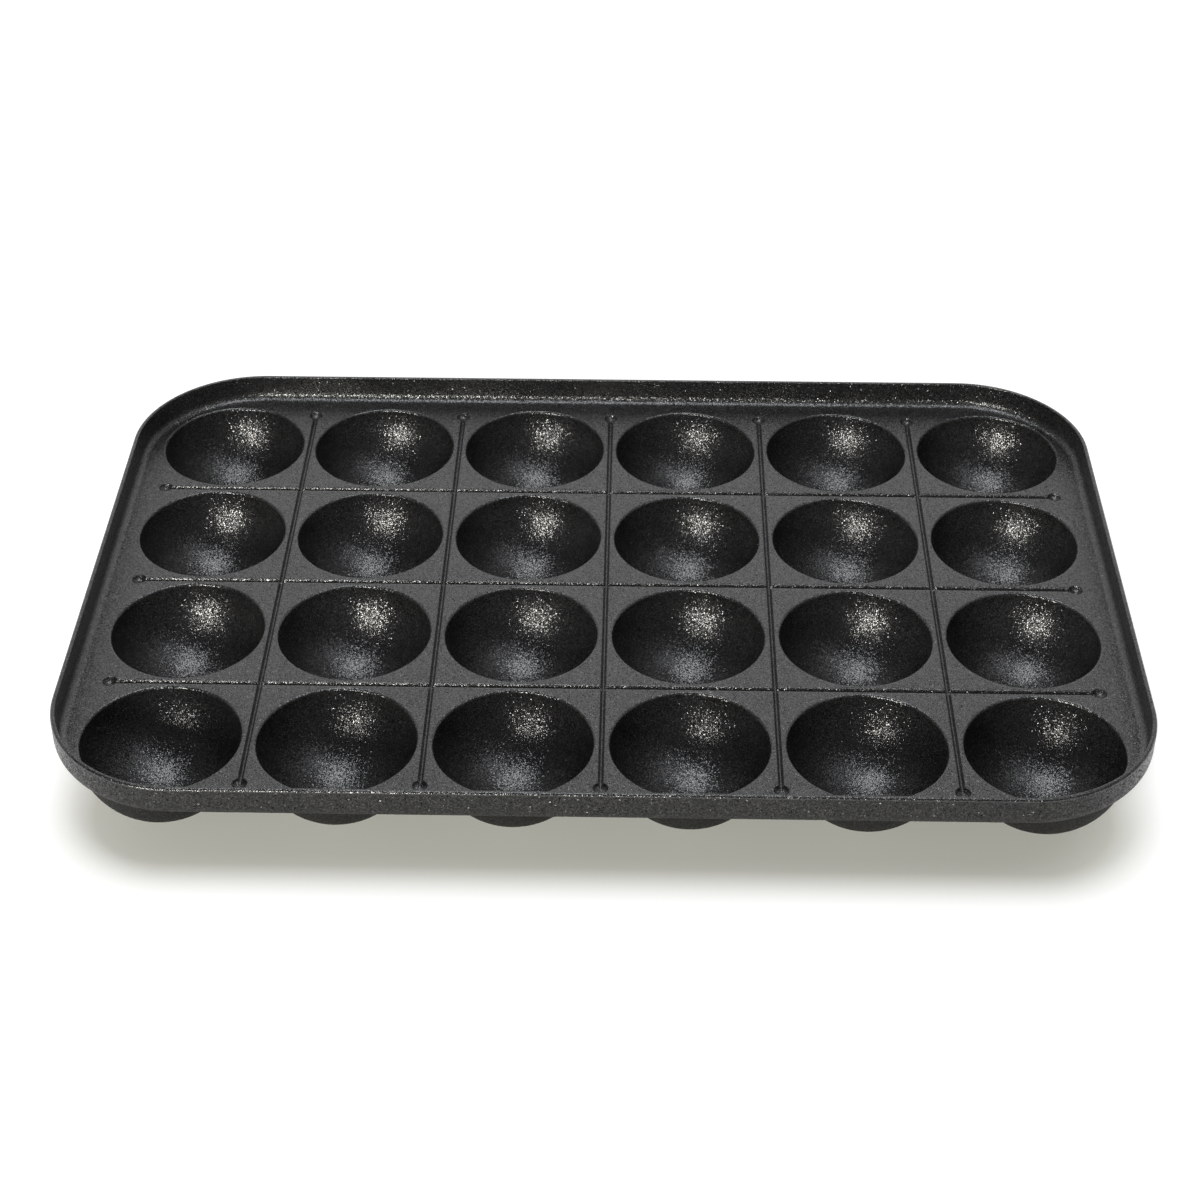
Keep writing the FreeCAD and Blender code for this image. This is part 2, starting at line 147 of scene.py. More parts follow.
def deck_top(x, y):
    """Height of the upper surface inside the rim's foot."""
    column = np.clip(np.round(x / PITCH + (COLUMNS - 1) / 2), 0, COLUMNS - 1)
    row = np.clip(np.round(y / PITCH + (ROWS - 1) / 2), 0, ROWS - 1)
    cx, cy = well_centre(column, row)
    r = np.hypot(x - cx, y - cy)
    well = CENTRE - np.sqrt(np.maximum(CAVITY ** 2 - r ** 2, 0))
    lip = DECK - LIP + np.sqrt(np.maximum(LIP ** 2 - np.maximum(LIP_OUT - r, 0) ** 2, 0))
    height = np.where(r < LIP_IN, well, np.where(r < LIP_OUT, lip, DECK))
    along_y = np.min([np.abs(x - place) for place in GROOVE_X], axis=0)
    along_x = np.min([np.abs(y - place) for place in GROOVE_Y], axis=0)
    cut = joined_cuts(groove_cut(np.hypot(along_y, np.maximum(np.abs(y) - END_Y, 0))),
                      groove_cut(np.hypot(along_x, np.maximum(np.abs(x) - END_X, 0))))
    pit = dimple_cut(np.min([np.hypot(x - dx, y - dy) for dx, dy in DIMPLES], axis=0))
    return height - joined_cuts(cut, pit) * (r > LIP_OUT)


def beyond_foot(x, y):
    """Distance outside the rim's foot line, negative inside it."""
    dx, dy = np.abs(x) - CORNER_X, np.abs(y) - CORNER_Y
    outside = np.hypot(np.maximum(dx, 0), np.maximum(dy, 0))
    return outside + np.minimum(np.maximum(dx, dy), 0) - FOOT_CORNER


def below(x, y, z):
    """Distance outside the underside: bowls, web and rounded rim, softly joined."""
    centres = [well_centre(column, row) for column in range(COLUMNS) for row in range(ROWS)]
    bowls = np.sort([np.sqrt((x - cx) ** 2 + (y - cy) ** 2 + (z - CENTRE) ** 2) - BOWL
                     for cx, cy in centres], axis=0)
    out = np.maximum(beyond_foot(x, y), 0)
    rise = WEB + BAND - z
    plate = np.where(rise > 0, np.hypot(out, np.maximum(rise, 0)), out) - BAND
    joined = soft_min(soft_min(bowls[0], bowls[1], UNDER_BLEND), plate, UNDER_BLEND)
    return soft_max(joined, -z, REST_EDGE)


def below_normal(points):
    """Unit normals of the underside at points on it."""
    slope = np.stack([below(*(points + axis * TINY).T) - below(*(points - axis * TINY).T)
                      for axis in np.eye(3)], axis=1)
    return slope / np.linalg.norm(slope, axis=1, keepdims=True)


def find_below(start, direction, low, high):
    """Points start + t * direction on the underside, t between low, inside, and high, outside."""
    low, high = np.full(len(start), float(low)), np.full(len(start), float(high))
    for _ in range(HALVINGS):
        middle = (low + high) / 2
        inside = below(*(start + middle[:, None] * direction).T) < 0
        low, high = np.where(inside, middle, low), np.where(inside, high, middle)
    return start + ((low + high) / 2)[:, None] * direction


def top_points(flat):
    return np.column_stack([flat, deck_top(flat[:, 0], flat[:, 1])])


def top_normal(flat):
    """Unit normals of the upper surface over flat places."""
    x, y = flat[:, 0], flat[:, 1]
    slope = np.column_stack([deck_top(x - TINY, y) - deck_top(x + TINY, y),
                             deck_top(x, y - TINY) - deck_top(x, y + TINY),
                             np.full(len(flat), 2 * TINY)])
    return slope / np.linalg.norm(slope, axis=1, keepdims=True)


def under_points(flat):
    """Points of the underside straight below flat places, searched from the middle of the web."""
    start = np.column_stack([flat, np.full(len(flat), MID_WEB)])
    past_table = MID_WEB + 0.5
    return find_below(start, np.array([0.0, 0.0, -1.0]), 0, past_table)


# ---------------------------------------------------------------- plans of the wells' zones
def place_key(place):
    """What two equal places have in common."""
    return round(place[0] * 1e5), round(place[1] * 1e5)


def spread(low, high, step):
    """Even places between two, without the ends."""
    count = max(2, round((high - low) / step))
    return [low + (high - low) * i / count for i in range(1, count)]


def beside_end(at_foot):
    """Distances from a groove's end: across the next groove's strips, or through its own end dimple."""
    if not at_foot:
        return list(STRIPS)
    middle = MARGIN + DIMPLE_INSET
    rings = sorted([middle - r for r in DIMPLE_RINGS] + [middle] + [middle + r for r in DIMPLE_RINGS])
    return [0.0] + spread(0, rings[0], STEP) + rings


def groove_stations(low, high, low_foot, high_foot):
    """Places along a cell's side, closer together beside a crossing groove or a dimple."""
    first = [low + distance for distance in beside_end(low_foot)]
    last = [high - distance for distance in reversed(beside_end(high_foot))]
    return first + spread(first[-1], last[0], STEP) + last


def arc_places(x, y, first):
    """A quarter turn of the rim's foot line round a corner's centre."""
    angles = [first + math.pi / 2 * i / ARC_STEPS for i in range(ARC_STEPS + 1)]
    return [(x + FOOT_CORNER * math.cos(angle), y + FOOT_CORNER * math.sin(angle)) for angle in angles]


class Cell:
    """The plan of one well's zone: its box, which sides are at the rim, and its outline."""

    def __init__(self, column, row):
        self.cx, self.cy = well_centre(column, row)
        self.feet = {"left": column == 0, "right": column == COLUMNS - 1,
                     "front": row == 0, "back": row == ROWS - 1}
        half = PITCH / 2
        self.x0 = -FOOT_X if self.feet["left"] else self.cx - half
        self.x1 = FOOT_X if self.feet["right"] else self.cx + half
        self.y0 = -FOOT_Y if self.feet["front"] else self.cy - half
        self.y1 = FOOT_Y if self.feet["back"] else self.cy + half
        self.xs = groove_stations(self.x0, self.x1, self.feet["left"], self.feet["right"])
        self.ys = groove_stations(self.y0, self.y1, self.feet["front"], self.feet["back"])

    def side(self, name, places, low, high):
        """Places along one side: a groove's own, or even ones along the rim's foot."""
        if not self.feet[name]:
            return places
        return [low] + spread(low, high, FOOT_STEP) + [high]

    def outline(self):
        """Places round the cell, anticlockwise, with the rim's corner where it has one."""
        at = self.feet
        left = -CORNER_X if at["left"] else self.x0
        right = CORNER_X if at["right"] else self.x1
        front = -CORNER_Y if at["front"] else self.y0
        back = CORNER_Y if at["back"] else self.y1
        loop = [(x, self.y0) for x in self.side("front", self.xs, left, right)]
        if at["front"] and at["right"]:
            loop += arc_places(CORNER_X, -CORNER_Y, -math.pi / 2)
        loop += [(self.x1, y) for y in self.side("right", self.ys, front, back)]
        if at["back"] and at["right"]:
            loop += arc_places(CORNER_X, CORNER_Y, 0)
        loop += [(x, self.y1) for x in reversed(self.side("back", self.xs, left, right))]
        if at["back"] and at["left"]:
            loop += arc_places(-CORNER_X, CORNER_Y, math.pi / 2)
        loop += [(self.x0, y) for y in reversed(self.side("left", self.ys, front, back))]
        if at["front"] and at["left"]:
            loop += arc_places(-CORNER_X, -CORNER_Y, math.pi)
        clean = [loop[0]]
        for place in loop[1:]:
            if math.dist(place, clean[-1]) > SAME:
                clean.append(place)
        if math.dist(clean[0], clean[-1]) < SAME:
            clean.pop()
        return clean

    def inside(self, x, y, gap):
        """Whether a place is in the cell, at least gap from its outline."""
        return (self.x0 + gap < x < self.x1 - gap and self.y0 + gap < y < self.y1 - gap
                and float(beyond_foot(np.array(x), np.array(y))) < -gap)

    def on_side(self, x, y):
        """Whether a place is on one of the cell's straight sides, between its corners."""
        return ((min(abs(x - self.x0), abs(x - self.x1)) < SAME and self.y0 < y < self.y1)
                or (min(abs(y - self.y0), abs(y - self.y1)) < SAME and self.x0 < x < self.x1))


def ring(cell, radius):
    """Places round a cell's well."""
    angles = [2 * math.pi * i / TURN for i in range(TURN)]
    return [(cell.cx + radius * math.cos(angle), cell.cy + radius * math.sin(angle)) for angle in angles]


class Plan:
    """Flat places and lines between them, for one triangulation; equal places are kept once."""

    def __init__(self):
        self.places, self.lines, self.known = [], [], {}

    def add(self, place):
        key = place_key(place)
        if key not in self.known:
            self.known[key] = len(self.places)
            self.places.append(place)
        return self.known[key]

    def chain(self, places, closed=False):
        """Join consecutive places; a None breaks the chain."""
        numbers = [None if place is None else self.add(place) for place in places]
        pairs = list(zip(numbers, numbers[1:]))
        if closed:
            pairs.append((numbers[-1], numbers[0]))
        self.lines += [(a, b) for a, b in pairs if a is not None and b is not None and a != b]

    def triangles(self, keep):
        """The triangulated places, and the anticlockwise triangles whose middle passes keep(x, y)."""
        points, _, faces, sources, _, _ = delaunay_2d_cdt(
            [Vector(place) for place in self.places], self.lines, [], 0, SAME, True)
        flat = np.array([self.places[source[0]] if source else tuple(point)
                         for point, source in zip(points, sources)])
        result = []
        for face in faces:
            middle = flat[list(face)].mean(axis=0)
            if keep(*middle):
                a, b, c = (flat[i] for i in face[:3])
                turn = (b[0] - a[0]) * (c[1] - a[1]) - (b[1] - a[1]) * (c[0] - a[0])
                result.append(tuple(face) if turn > 0 else tuple(reversed(face)))
        return flat, result


def cavity_radii():
    """Rings of the cavity, even in angle, and of its lip, out to the deck."""
    steep = math.asin(LIP_IN / CAVITY)
    radii = [CAVITY * math.sin(steep * i / CAVITY_RINGS) for i in range(1, CAVITY_RINGS + 1)]
    return radii + [LIP_OUT - LIP * math.sin(steep * (1 - i / LIP_RINGS)) for i in range(1, LIP_RINGS + 1)]


def bowl_radii():
    """Rings of the resting flat and its edge, and of the bowl up to its join with the web."""
    flat = math.sqrt(BOWL ** 2 - CENTRE ** 2)
    radii = [flat + distance for distance in REST_RINGS]
    first, last = math.asin(radii[-1] / BOWL), math.asin(BOWL_END / BOWL)
    angles = [first + (last - first) * i / BOWL_RINGS for i in range(1, BOWL_RINGS + 1)]
    return radii + [BOWL * math.sin(angle) for angle in angles]


def top_plan(cell):
    """Lines of the upper surface: outline, mouth, the grooves' strips and the dimples' rings."""
    plan = Plan()
    plan.chain(cell.outline(), closed=True)
    plan.chain(ring(cell, cavity_radii()[-1]), closed=True)
    near = [(x, y) for x, y in DIMPLES if cell.x0 - 1 < x < cell.x1 + 1 and cell.y0 - 1 < y < cell.y1 + 1]

    reach = DIMPLE_RINGS[-1] + DIMPLE_GAP

    def free(x, y):
        past_end = (abs(x) > END_X and min(abs(y - place) for place in GROOVE_Y) < STRIP_END) or (
            abs(y) > END_Y and min(abs(x - place) for place in GROOVE_X) < STRIP_END)
        return not past_end and all(math.dist((x, y), dimple) > reach for dimple in near)

    def strip(places):
        plan.chain([p if free(*p) and cell.inside(*p, GAP) else None for p in places])

    for distance in STRIPS[1:]:
        for side, start, inward in (("left", cell.x0, 1), ("right", cell.x1, -1)):
            if not cell.feet[side]:
                strip([(start + inward * distance, y) for y in cell.ys])
        for side, start, inward in (("front", cell.y0, 1), ("back", cell.y1, -1)):
            if not cell.feet[side]:
                strip([(x, start + inward * distance) for x in cell.xs])
    for dx, dy in near:
        for r in DIMPLE_RINGS:
            steps = DIMPLE_TURN if r > DIMPLE_CORE else CORE_TURN
            angles = [2 * math.pi * i / steps for i in range(steps + 1)]
            loop = [(dx + r * math.cos(angle), dy + r * math.sin(angle)) for angle in angles]
            plan.chain([p if cell.inside(*p, GAP) or cell.on_side(*p) else None for p in loop])
    return plan


def under_plan(cell):
    """Lines of the underside: outline, the bowl's last ring, and rings over its join with the web."""
    plan = Plan()
    plan.chain(cell.outline(), closed=True)
    plan.chain(ring(cell, bowl_radii()[-1]), closed=True)
    for radius in WEB_RINGS:
        loop = ring(cell, radius)
        plan.chain([p if cell.inside(*p, WEB_GAP) else None for p in loop + loop[:1]])
    return plan


# ---------------------------------------------------------------- meshes
def make_object(name, points, faces, normals, coats):
    """A mesh in metres, with its own normal at every face corner and its coating at every face."""
    mesh = bpy.data.meshes.new(name)
    mesh.from_pydata((points * MM).tolist(), [], faces)
    mesh.polygons.foreach_set("use_smooth", [True] * len(mesh.polygons))
    mesh.polygons.foreach_set("material_index", coats)
    mesh.update()
    mesh.normals_split_custom_set(normals)
    item = bpy.data.objects.new(name, mesh)
    bpy.context.scene.collection.objects.link(item)
    return item


def disc(cell, radii, flat):
    """Rings and a middle fan inside the last radius: new flat places and anticlockwise faces.
    The last ring's places are already in flat, found by their coordinates."""
    known = {place_key(place): i for i, place in enumerate(flat)}
    places, rings, count = [], [], len(flat)
    for radius in radii[:-1]:
        rings.append(list(range(count + len(places), count + len(places) + TURN)))
        places += ring(cell, radius)
    rings.append([known[place_key(place)] for place in ring(cell, radii[-1])])
    middle = count + len(places)
    places.append((cell.cx, cell.cy))
    faces = [(middle, rings[0][i], rings[0][(i + 1) % TURN]) for i in range(TURN)]
    for inner, wide in zip(rings, rings[1:]):
        faces += [(inner[i], wide[i], wide[(i + 1) % TURN], inner[(i + 1) % TURN]) for i in range(TURN)]
    return places, faces


def layer(cell, plan, radii):
    """Flat places and faces of one layer: the plan's triangles, and a disc inside the last radius."""
    edge = radii[-1] * math.cos(math.pi / TURN) - GAP

    def outside_disc(x, y):
        return math.hypot(x - cell.cx, y - cell.cy) > edge and cell.inside(x, y, SAME)

    flat, faces = plan.triangles(outside_disc)
    more, inner = disc(cell, radii, flat)
    return np.vstack([flat, more]), faces + inner


def make_well(column, row):
    """One well's zone as a closed mesh: upper surface, underside, and the cut sides between them."""
    cell = Cell(column, row)
    top_flat, top_faces = layer(cell, top_plan(cell), cavity_radii())
    low_flat, low_faces = layer(cell, under_plan(cell), bowl_radii())
    low = under_points(low_flat)
    points = np.vstack([top_points(top_flat), low])
    normals = np.vstack([top_normal(top_flat), below_normal(low)])
    shift = len(top_flat)
    faces = top_faces + [tuple(i + shift for i in reversed(face)) for face in low_faces]
    coats = [INSIDE] * len(top_faces) + [OUTSIDE] * len(low_faces)
    corner_normals = [tuple(normals[i]) for face in faces for i in face]
    find_top = {place_key(place): i for i, place in enumerate(top_flat)}
    find_low = {place_key(place): i + shift for i, place in enumerate(low_flat)}
    outline = cell.outline()
    for a, b in zip(outline, outline[1:] + outline[:1]):
        from_key, to_key = place_key(a), place_key(b)
        faces.append((find_top[from_key], find_low[from_key], find_low[to_key], find_top[to_key]))
        out = Vector((b[1] - a[1], a[0] - b[0], 0)).normalized()
        corner_normals += [tuple(out)] * 4
        coats.append(OUTSIDE)
    return make_object(f"well_r{row + 1}_c{column + 1}_casting", points, faces, corner_normals, coats)


def rim_profile():
    """The rim's section from the foot's top, over the crown, to the foot's underside, and the number of
    the place where its rounded underside starts. Each place is its distance out from the foot line, its
    height, and its normal out and up."""
    places = []

    def sweep(cx, cy, radius, first, last, steps, facing=1):
        for i in range(steps + 1):
            angle = first + (last - first) * i / steps
            places.append((cx + radius * math.cos(angle), cy + radius * math.sin(angle),
                           facing * math.cos(angle), facing * math.sin(angle)))

    top = DECK + RIM_RISE
    quarter = math.pi / 2
    inner = BAND - RIM_WALL + RIM_INNER_EDGE / math.cos(RIM_DRAFT) - RIM_INNER_EDGE * math.tan(RIM_DRAFT)
    outer = BAND - RIM_OUTER_EDGE
    sweep(0, DECK + RIM_FOOT, RIM_FOOT, -quarter, -RIM_DRAFT, RIM_STEPS["foot"], -1)
    sweep(inner, top - RIM_INNER_EDGE, RIM_INNER_EDGE,
          math.pi - RIM_DRAFT, quarter, RIM_STEPS["inner edge"])
    sweep(outer, top - RIM_OUTER_EDGE, RIM_OUTER_EDGE, quarter, 0, RIM_STEPS["outer edge"])
    under_from = len(places)
    sweep(0, WEB + BAND, BAND, 0, -quarter, RIM_STEPS["under"])
    return places, under_from


def foot_loop():
    """Places round the rim's foot, as the wells' outlines have them, and the direction out of each."""
    places = {}
    for column in range(COLUMNS):
        for row in range(ROWS):
            for x, y in Cell(column, row).outline():
                if abs(float(beyond_foot(np.array(x), np.array(y)))) < SAME:
                    places[place_key((x, y))] = (x, y)

    def outward(place):
        base = (max(-CORNER_X, min(CORNER_X, place[0])), max(-CORNER_Y, min(CORNER_Y, place[1])))
        return tuple(Vector((place[0] - base[0], place[1] - base[1])).normalized())

    def angle(place):
        return math.atan2(place[1] / FOOT_Y, place[0] / FOOT_X)

    ordered = sorted(places.values(), key=angle)
    return ordered, [outward(place) for place in ordered]


def make_rim():
    """The rim as a closed ring: its section carried round the foot line and settled on the underside."""
    profile, under_from = rim_profile()
    loop, outward = foot_loop()
    count = len(profile)
    points, normals = [], []
    for (x, y), (nx, ny) in zip(loop, outward):
        for out, height, n_out, n_up in profile:
            points.append((x + nx * out, y + ny * out, height))
            normals.append((nx * n_out, ny * n_out, n_up))
    points, normals = np.array(points), np.array(normals)
    under = np.arange(len(points)) % count > under_from
    points[under] = find_below(points[under], normals[under], *RIM_SEARCH)
    normals[under] = below_normal(points[under])
    faces, corner_normals, coats = [], [], []
    for i, (nx, ny) in enumerate(outward):
        a, b = i * count, ((i + 1) % len(loop)) * count
        for j in range(count - 1):
            faces.append((a + j, a + j + 1, b + j + 1, b + j))
            corner_normals += [tuple(normals[k]) for k in faces[-1]]
            coats.append(INSIDE if j < under_from - 1 else OUTSIDE)
        faces.append((a + count - 1, a, b, b + count - 1))
        corner_normals += [(-nx, -ny, 0.0)] * 4
        coats.append(OUTSIDE)
    return make_object("rim_casting", points, faces, corner_normals, coats)


# ---------------------------------------------------------------- shader helpers
def link_into(tree, value, socket):
    """Fill a socket with a number, a tuple or another node's output."""
    if isinstance(value, bpy.types.NodeSocket):
        tree.links.new(value, socket)
    else:
        socket.default_value = value


def vector_math(tree, operation, *values, scale=None):
    made = tree.nodes.new("ShaderNodeVectorMath")
    made.operation = operation
    for value, socket in zip(values, made.inputs):
        link_into(tree, value, socket)
    if scale is not None:
        link_into(tree, scale, made.inputs["Scale"])
    return made.outputs["Value" if operation == "LENGTH" else "Vector"]


def math_node(tree, operation, *values):
    made = tree.nodes.new("ShaderNodeMath")
    made.operation = operation
    for value, socket in zip(values, made.inputs):
        link_into(tree, value, socket)
    return made.outputs[0]


def ramp(tree, value, stops):
    """A colour ramp over a value; stops are (place, grey level) or (place, colour)."""
    made = tree.nodes.new("ShaderNodeValToRGB")
    elements = made.color_ramp.elements
    while len(elements) < len(stops):
        elements.new(0.5)
    for element, (place, colour) in zip(elements, stops):
        element.position = place
        element.color = (colour, colour, colour, 1) if isinstance(colour, float) else (*colour, 1)
    tree.links.new(value, made.inputs["Fac"])
    return made.outputs["Color"]


def step_between(tree, value, low, high, to_low=0.0, to_high=1.0):
    """A smooth step of a value between two levels."""
    made = tree.nodes.new("ShaderNodeMapRange")
    made.interpolation_type = "SMOOTHSTEP"
    tree.links.new(value, made.inputs["Value"])
    for socket, number in (("From Min", low), ("From Max", high), ("To Min", to_low), ("To Max", to_high)):
        link_into(tree, number, made.inputs[socket])
    return made.outputs["Result"]


# ---------------------------------------------------------------- coatings
SWELL_SCALE, SWELL_TILT = 1500.0, 0.10       # softer unevenness under the grains, per metre
MOTTLE_SCALE = 70.0                          # clouds in the colour, per metre
MOTTLE_LEVELS, MOTTLE_SHADES = (0.3, 0.7), (0.85, 1.15)
LEAST_LEAN, MORE_LEAN = 0.3, 0.9             # every grain's share of the tilt, and up to how much more
MIDDLE_GREY = (0.5, 0.5, 0.5)


def coating(name, grains, tilt, specular, shine, colours, matt_and_painted_shade=None):
    """A sprayed coating: every grain leans its own way and shines on its own.
    grains are counted per metre, shine is the grains' roughness, and the last argument gives two heights, a
    roughness and a colour factor: below these heights the parts go matt, and their colour darkens by the
    factor, painted shade towards the bottom."""
    material = bpy.data.materials.new(name)
    material.use_nodes = True
    tree = material.node_tree
    tree.nodes.clear()
    output = tree.nodes.new("ShaderNodeOutputMaterial")
    shader = tree.nodes.new("ShaderNodeBsdfPrincipled")
    shader.inputs["Specular IOR Level"].default_value = specular
    tree.links.new(shader.outputs["BSDF"], output.inputs["Surface"])
    where = tree.nodes.new("ShaderNodeTexCoord").outputs["Object"]

    def texture(kind, scale, **values):
        made = tree.nodes.new(kind)
        for socket, value in dict(values, Scale=scale, Vector=where).items():
            link_into(tree, value, made.inputs[socket])
        return made

    facets = texture("ShaderNodeTexVoronoi", grains)
    chance = tree.nodes.new("ShaderNodeTexWhiteNoise")
    tree.links.new(facets.outputs["Position"], chance.inputs["Vector"])
    chances = tree.nodes.new("ShaderNodeSeparateColor")
    tree.links.new(chance.outputs["Color"], chances.inputs[0])
    swell = texture("ShaderNodeTexNoise", SWELL_SCALE, Detail=1.0).outputs["Color"]
    mottle = texture("ShaderNodeTexNoise", MOTTLE_SCALE, Detail=3.0).outputs["Fac"]

    strength = chance.outputs["Value"]
    strength = math_node(tree, "MULTIPLY_ADD", strength, MORE_LEAN * tilt, LEAST_LEAN * tilt)
    lean = vector_math(tree, "SUBTRACT", facets.outputs["Color"], MIDDLE_GREY)
    lean = vector_math(tree, "SCALE", lean, scale=strength)
    sway = vector_math(tree, "SUBTRACT", swell, MIDDLE_GREY)
    sway = vector_math(tree, "SCALE", sway, scale=SWELL_TILT)
    true_normal = tree.nodes.new("ShaderNodeNewGeometry").outputs["Normal"]
    tilted = vector_math(tree, "ADD", true_normal, vector_math(tree, "ADD", lean, sway))
    tree.links.new(vector_math(tree, "NORMALIZE", tilted), shader.inputs["Normal"])

    roughness = ramp(tree, chances.outputs["Blue"], shine)
    mottle_and_painted_shade = step_between(tree, mottle, *MOTTLE_LEVELS, *MOTTLE_SHADES)
    if matt_and_painted_shade:
        low, high, level, painted_shade = matt_and_painted_shade
        height = tree.nodes.new("ShaderNodeSeparateXYZ")
        tree.links.new(where, height.inputs[0])
        shiny = step_between(tree, height.outputs["Z"], low, high)
        above_level = math_node(tree, "SUBTRACT", roughness, level)
        roughness = math_node(tree, "MULTIPLY_ADD", above_level, shiny, level)
        # painted shade: below these heights the colour is darkened by the factor, on the rim's lower
        # outside and the bowls under the plate
        painted_shade_factor = step_between(tree, height.outputs["Z"], low, high, painted_shade)
        mottle_and_painted_shade = math_node(tree, "MULTIPLY", mottle_and_painted_shade, painted_shade_factor)
    tree.links.new(roughness, shader.inputs["Roughness"])
    colour = ramp(tree, chances.outputs["Green"], colours)
    tree.links.new(vector_math(tree, "SCALE", colour, scale=mottle_and_painted_shade), shader.inputs["Base Color"])
    return material


def inside_coating():
    """The satin non-stick coating of the wells, the deck and the rim's inside and crown."""
    return coating("nonstick_coating", grains=4800.0, tilt=0.57, specular=0.85,
                   shine=[(0.0, 0.17), (0.6, 0.22), (1.0, 0.30)],
                   colours=[(0.0, 0.002), (0.6, 0.009), (1.0, 0.045)])


def outside_coating():
    """The rougher coating of the rim's outside, which goes matt and darker on the bowls below it; the
    darkening is painted shade, on the rim's lower outside and on the bowls under the plate.
    """
    colours = [(0.0, (0.001, 0.001, 0.0009)), (0.6, (0.006, 0.0058, 0.0053)), (1.0, (0.058, 0.057, 0.053))]
    # below 19 to 27 mm the outside goes matt, and its colour is darkened to 0.45 as painted shade
    return coating("outside_coating", grains=2800.0, tilt=1.15, specular=0.33,
                   shine=[(0.0, 0.20), (0.6, 0.32), (1.0, 0.50)],
                   colours=colours, matt_and_painted_shade=(0.019, 0.027, 0.72, 0.45))


# ---------------------------------------------------------------- floor
FLOOR_REACH = 60.0
SHADED_HALF = (0.122, 0.078, 1.0)            # half sizes of the floor's shaded place
FLOOR_FADE = 1.2                             # from there to where the floor is plain white
# matt colour of the floor: warm close to the plate, a painted warm tint in its shadow, and darker further
# out, where the glow makes it white
FLOOR_COLOUR = [(0.0, (0.80, 0.80, 0.77)), (0.019, (0.80, 0.80, 0.77)), (0.032, (0.50, 0.50, 0.50)),
                (0.07, (0.30, 0.30, 0.30)), (1.0, (0.1, 0.1, 0.1))]
# what the floor adds for the camera, which makes it white away from the plate; close to the plate it stays
# low and warm, a painted warm tint in the plate's shadow
FLOOR_GLOW = [(0.0, (0.140, 0.140, 0.118)), (0.019, (0.150, 0.150, 0.126)), (0.030, (0.63, 0.63, 0.62)),
              (0.042, (0.88, 0.88, 0.88)), (1.0, (1.0, 1.0, 1.0))]


def floor_material():
    """White floor that keeps the shadow: matt white, lifted towards the white background for the camera."""
    material = bpy.data.materials.new("floor_white")
    material.use_nodes = True
    tree = material.node_tree
    tree.nodes.clear()
    output = tree.nodes.new("ShaderNodeOutputMaterial")
    matt = tree.nodes.new("ShaderNodeBsdfDiffuse")
    glow = tree.nodes.new("ShaderNodeEmission")
    rays = tree.nodes.new("ShaderNodeLightPath").outputs
    seen = math_node(tree, "MAXIMUM", rays["Is Glossy Ray"], rays["Is Transmission Ray"])
    seen = math_node(tree, "MAXIMUM", rays["Is Camera Ray"], seen)
    tree.links.new(seen, glow.inputs["Strength"])
    where = tree.nodes.new("ShaderNodeTexCoord").outputs["Object"]
    beyond = vector_math(tree, "SUBTRACT", vector_math(tree, "ABSOLUTE", where), SHADED_HALF)
    away = vector_math(tree, "LENGTH", vector_math(tree, "MAXIMUM", beyond, (0.0, 0.0, 0.0)))
    away = math_node(tree, "DIVIDE", away, FLOOR_FADE)
    tree.links.new(ramp(tree, away, FLOOR_COLOUR), matt.inputs["Color"])
    tree.links.new(ramp(tree, away, FLOOR_GLOW), glow.inputs["Color"])
    both = tree.nodes.new("ShaderNodeAddShader")
    tree.links.new(matt.outputs[0], both.inputs[0])
    tree.links.new(glow.outputs[0], both.inputs[1])
    tree.links.new(both.outputs[0], output.inputs["Surface"])
    return material


def make_floor():
    corners = [(-FLOOR_REACH, -FLOOR_REACH, 0), (FLOOR_REACH, -FLOOR_REACH, 0),
               (FLOOR_REACH, FLOOR_REACH, 0), (-FLOOR_REACH, FLOOR_REACH, 0)]
    mesh = bpy.data.meshes.new("floor")
    mesh.from_pydata(corners, [], [(0, 1, 2, 3)])
    floor = bpy.data.objects.new("floor", mesh)
    bpy.context.scene.collection.objects.link(floor)
    floor.data.materials.append(floor_material())


# ---------------------------------------------------------------- lights and world
MIDDLE = Vector((0.0, 0.0, DECK * MM))       # of the deck
LAMPS = (   # name, direction from the deck's middle, distance, size, power in watts, colour
    ("overhead_softbox", (-0.06, 0.05, 1.0), 1.15, (0.57, 0.58), 6.3, (0.94, 0.97, 1.0)),
    ("front_lamp", (-0.38, -0.88, 0.285), 1.55, (0.36, 0.36), 18.5, (1.0, 0.98, 0.92)),
    ("right_fill", (0.5, -0.12, 0.86), 1.15, (0.6, 0.5), 1.2, (0.95, 0.975, 1.0)))
WORLD_SIDE, WORLD_BACK, WORLD_BACK_SIDE, WORLD_TOP = 0.14, 1.42, 0.85, 0.05
SIDEWAYS_STEP, BACKWARD_STEP, UPWARD_STEP = (0.0, 0.6), (0.1, 0.55), (0.68, 0.84)    # of a ray's direction


def area_light(name, direction, distance, size, power, colour):
    """A rectangular lamp that faces the middle of the deck."""
    data = bpy.data.lights.new(name, "AREA")
    data.shape = "RECTANGLE"
    data.size, data.size_y = size
    data.energy = power
    data.color = colour
    lamp = bpy.data.objects.new(name, data)
    bpy.context.scene.collection.objects.link(lamp)
    lamp.location = MIDDLE + Vector(direction).normalized() * distance
    lamp.rotation_euler = (MIDDLE - lamp.location).to_track_quat("-Z", "Y").to_euler()


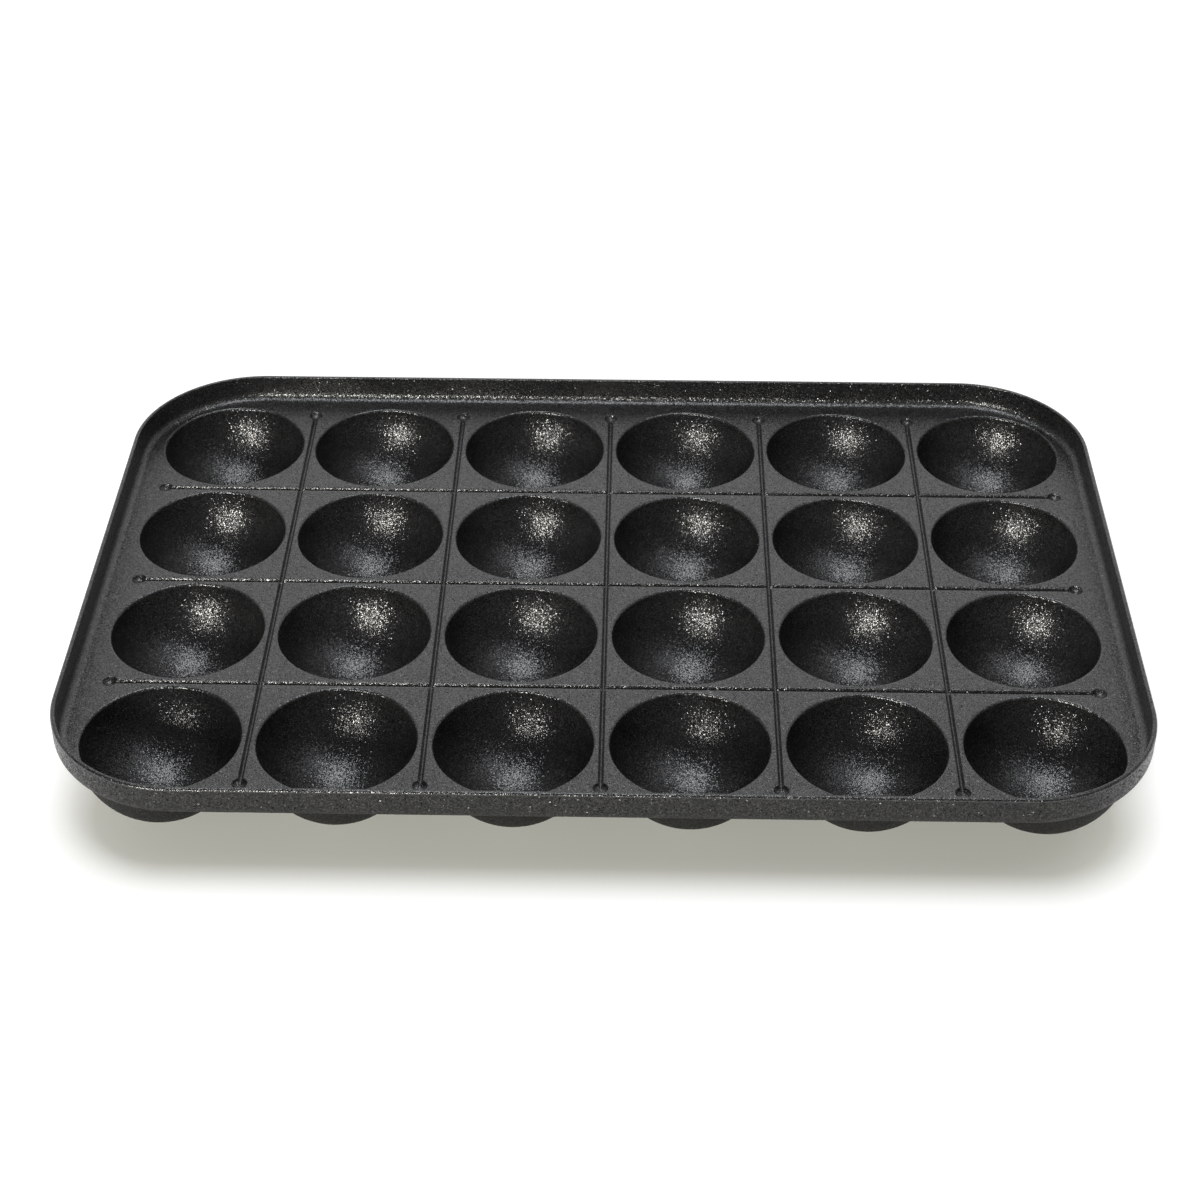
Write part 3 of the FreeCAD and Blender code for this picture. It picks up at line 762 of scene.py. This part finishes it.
def make_world():
    """A studio with a bright back wall, darker side and front walls, and a dark ceiling."""
    world = bpy.data.worlds.new("studio")
    bpy.context.scene.world = world
    world.use_nodes = True
    tree = world.node_tree
    tree.nodes.clear()
    output = tree.nodes.new("ShaderNodeOutputWorld")
    background = tree.nodes.new("ShaderNodeBackground")
    split = tree.nodes.new("ShaderNodeSeparateXYZ")
    tree.links.new(tree.nodes.new("ShaderNodeTexCoord").outputs["Generated"], split.inputs[0])
    sideways = math_node(tree, "ABSOLUTE", split.outputs["X"])
    back_wall = step_between(tree, sideways, *SIDEWAYS_STEP, WORLD_BACK, WORLD_BACK_SIDE)
    walls = step_between(tree, split.outputs["Y"], *BACKWARD_STEP, WORLD_SIDE, back_wall)
    level = step_between(tree, split.outputs["Z"], *UPWARD_STEP, walls, WORLD_TOP)
    tree.links.new(level, background.inputs["Strength"])
    tree.links.new(background.outputs[0], output.inputs["Surface"])


# ---------------------------------------------------------------- camera
CAMERA_PLACE = (0.00901, -0.58899, 0.46267)
CAMERA_LENS, SENSOR = 71.69, 36.0            # mm
CAMERA_DOWN, CAMERA_TURN, CAMERA_ROLL = 37.0875, -1.0606, 0.0396    # degrees
CLIP_START, CLIP_END = 0.01, 50.0


def make_camera():
    """The camera, looking down and towards +Y, turned and rolled a little."""
    data = bpy.data.cameras.new("camera")
    data.sensor_width = SENSOR
    data.lens = CAMERA_LENS
    data.clip_start, data.clip_end = CLIP_START, CLIP_END
    camera = bpy.data.objects.new("camera", data)
    bpy.context.scene.collection.objects.link(camera)
    down, turn, roll = (math.radians(angle) for angle in (CAMERA_DOWN, CAMERA_TURN, CAMERA_ROLL))
    forward = Vector((math.sin(turn) * math.cos(down), math.cos(turn) * math.cos(down), -math.sin(down)))
    level_right = forward.cross(Vector((0, 0, 1))).normalized()
    level_up = level_right.cross(forward)
    right = level_right * math.cos(roll) + level_up * math.sin(roll)
    up = level_up * math.cos(roll) - level_right * math.sin(roll)
    facing = Matrix((right, up, -forward)).transposed().to_4x4()
    camera.matrix_world = Matrix.Translation(CAMERA_PLACE) @ facing
    bpy.context.scene.camera = camera


# ---------------------------------------------------------------- the scene
pieces = []
for row in range(ROWS):
    for column in range(COLUMNS):
        pieces.append((make_well(column, row), f"well_r{row + 1}_c{column + 1}"))
pieces.append((make_rim(), "rim"))
coats = (inside_coating(), outside_coating())    # in the order of INSIDE and OUTSIDE
for piece, name in pieces:
    for coat in coats:
        piece.data.materials.append(coat)
    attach(piece, "root")
    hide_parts(name)

make_floor()
for lamp in LAMPS:
    area_light(*lamp)
make_world()
make_camera()
bpy.context.scene.view_settings.view_transform = "Standard"
